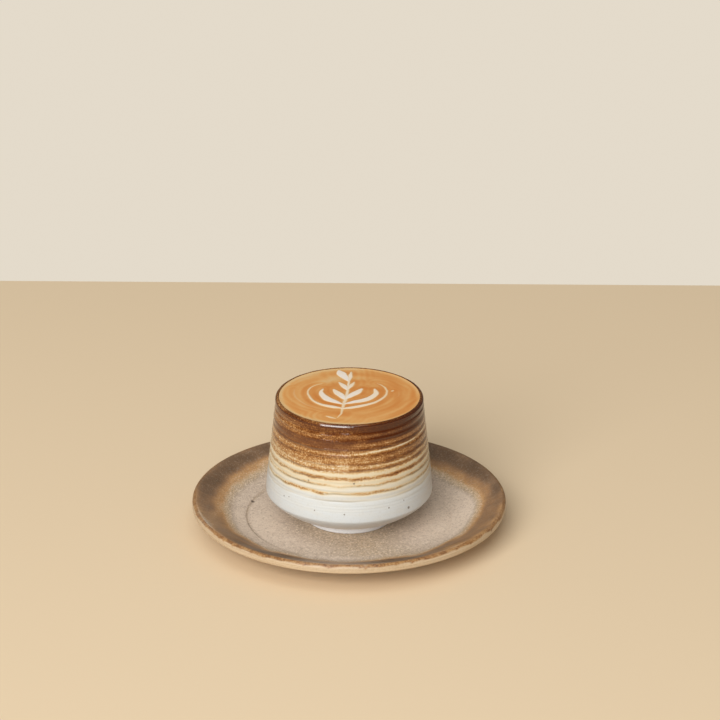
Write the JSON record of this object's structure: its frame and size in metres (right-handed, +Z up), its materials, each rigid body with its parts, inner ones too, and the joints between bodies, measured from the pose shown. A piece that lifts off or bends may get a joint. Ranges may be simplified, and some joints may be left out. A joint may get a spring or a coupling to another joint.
{
  "type": "flat white in a stoneware cup on a saucer",
  "caption": "Milk coffee filled to the brim of a handleless thrown stoneware cup with banded glaze, standing on its broad saucer.",
  "frame": {"origin": "on the table, under the middle of the saucer", "axes": "+Z up, the shared axis of saucer, cup and drink; the milk leaf's tip points along +Y, away from the drinker"},
  "size_m": [0.1452, 0.1452, 0.0652],
  "materials": {
    "saucer_glaze": "satin stoneware glaze, grey-beige in the well, amber to dark brown on the rim, bare cream edge",
    "cup_glaze": "glossy stoneware glaze, dark brown at the lip, amber and cream bands, cool white below",
    "coffee_foam": "wet satin coffee foam with a white milk leaf"
  },
  "bodies": {
    "root": {"saucer": "saucer_glaze", "cup": "cup_glaze", "drink": "coffee_foam"}
  },
  "joints": []
}
